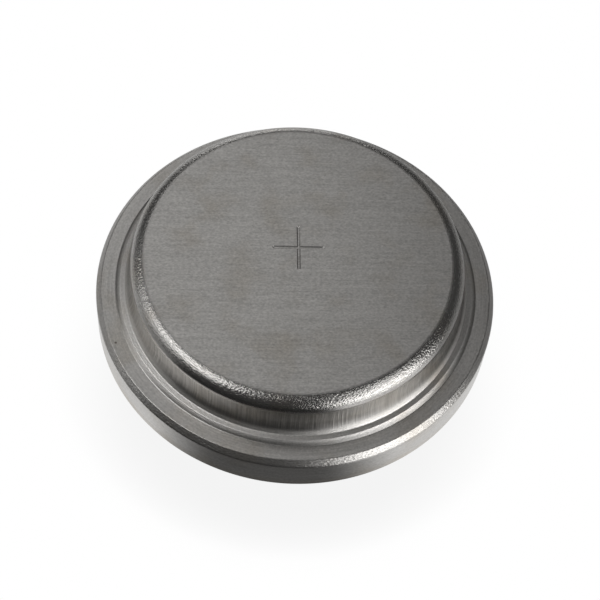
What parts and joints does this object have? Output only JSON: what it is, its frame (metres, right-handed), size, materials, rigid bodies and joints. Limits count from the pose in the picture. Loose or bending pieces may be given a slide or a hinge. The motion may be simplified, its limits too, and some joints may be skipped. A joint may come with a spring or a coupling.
{
  "type": "alkaline button cell",
  "caption": "Stepped round alkaline button cell: a drawn steel can with a raised contact boss, crimped over a nylon seal and a pressed cap, with its filling inside.",
  "frame": {"origin": "centre of the negative contact face, which the cell stands on", "axes": "+Z along the cell's axis, from the negative to the positive contact face; X and Y are alike, as the cell is round"},
  "size_m": [0.0156, 0.0156, 0.006],
  "materials": {
    "can_steel": "nickel-plated, satin, drawn",
    "cathode_mix": "pressed powder, matte",
    "film": "smooth cellulose film",
    "felt": "non-woven felt",
    "zinc_gel": "grainy gel",
    "nylon": "moulded nylon, satin",
    "cap_steel": "nickel-plated, satin, pressed"
  },
  "bodies": {
    "root": {"positive_can": "can_steel", "cathode_pellet": "cathode_mix", "separator_film": "film", "absorbent_pad": "felt", "anode_gel": "zinc_gel", "sealing_gasket": "nylon", "negative_cap": "cap_steel"}
  },
  "joints": []
}
